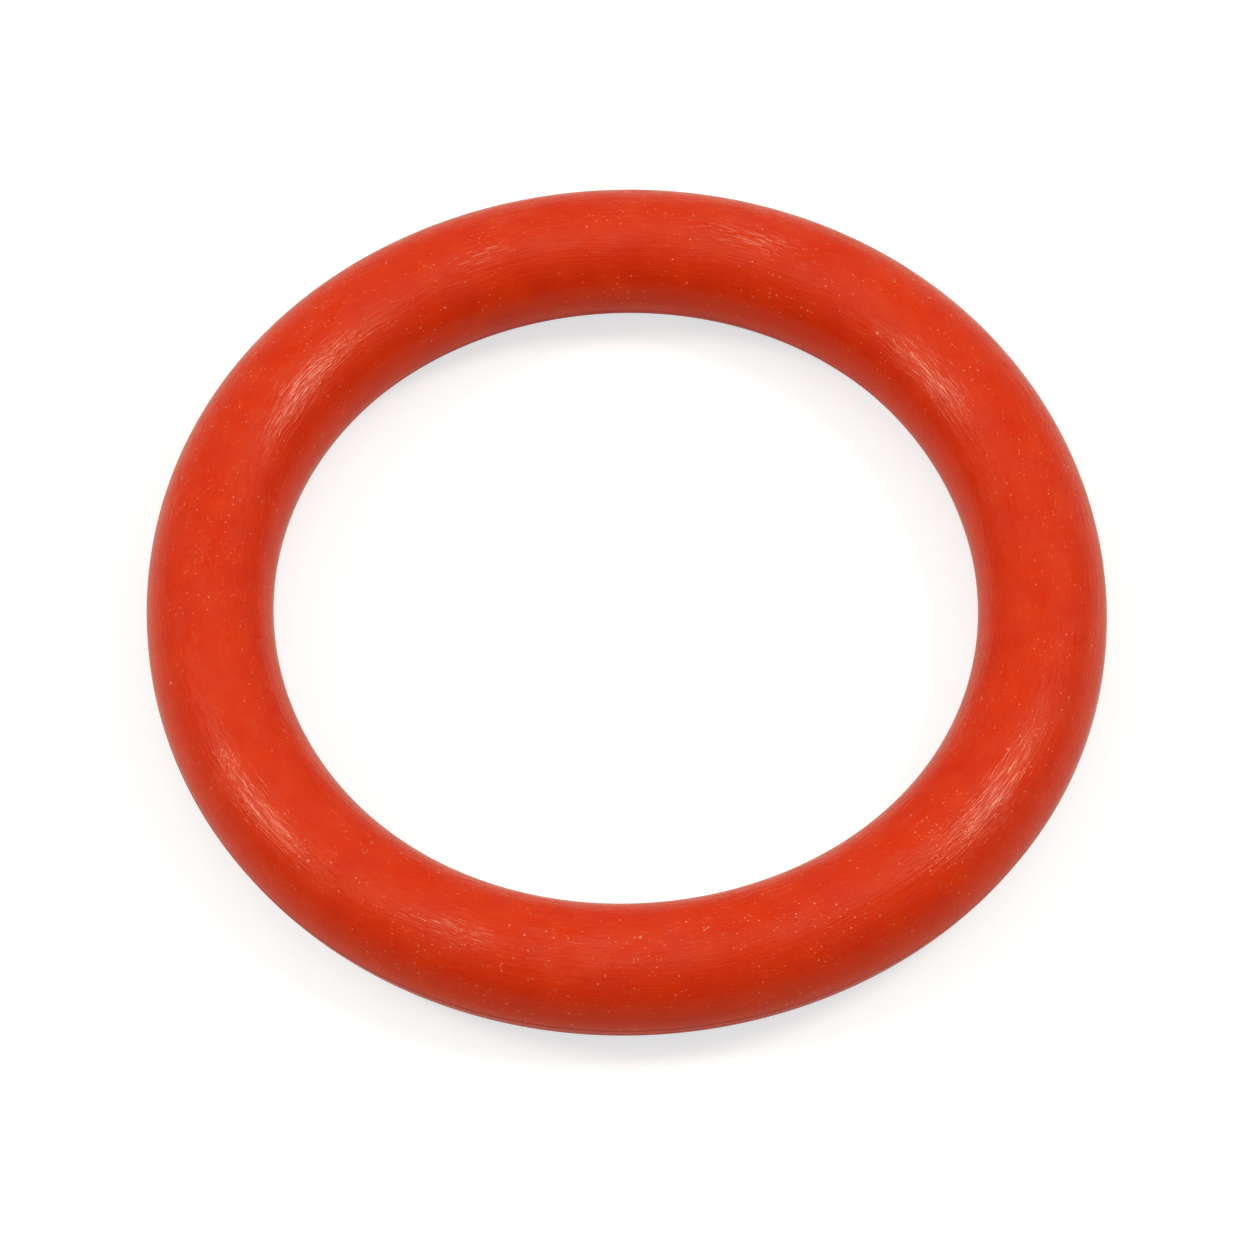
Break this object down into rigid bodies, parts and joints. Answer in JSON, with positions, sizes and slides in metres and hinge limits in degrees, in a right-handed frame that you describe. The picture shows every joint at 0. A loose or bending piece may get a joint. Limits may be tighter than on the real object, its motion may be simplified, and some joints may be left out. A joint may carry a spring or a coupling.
{
  "type": "o-ring",
  "caption": "Round-section silicone o-ring, a moulded seal that sits in a groove between a shaft or plug and its housing.",
  "frame": {"origin": "centre of the ring, on its axis and in the plane of its parting line", "axes": "+Z along the axis of the ring, up when it lies flat; X and Y lie in the plane of the ring"},
  "size_m": [0.03, 0.03, 0.004],
  "materials": {
    "silicone_rubber": "satin"
  },
  "bodies": {
    "root": {"o_ring": "silicone_rubber"}
  },
  "joints": []
}
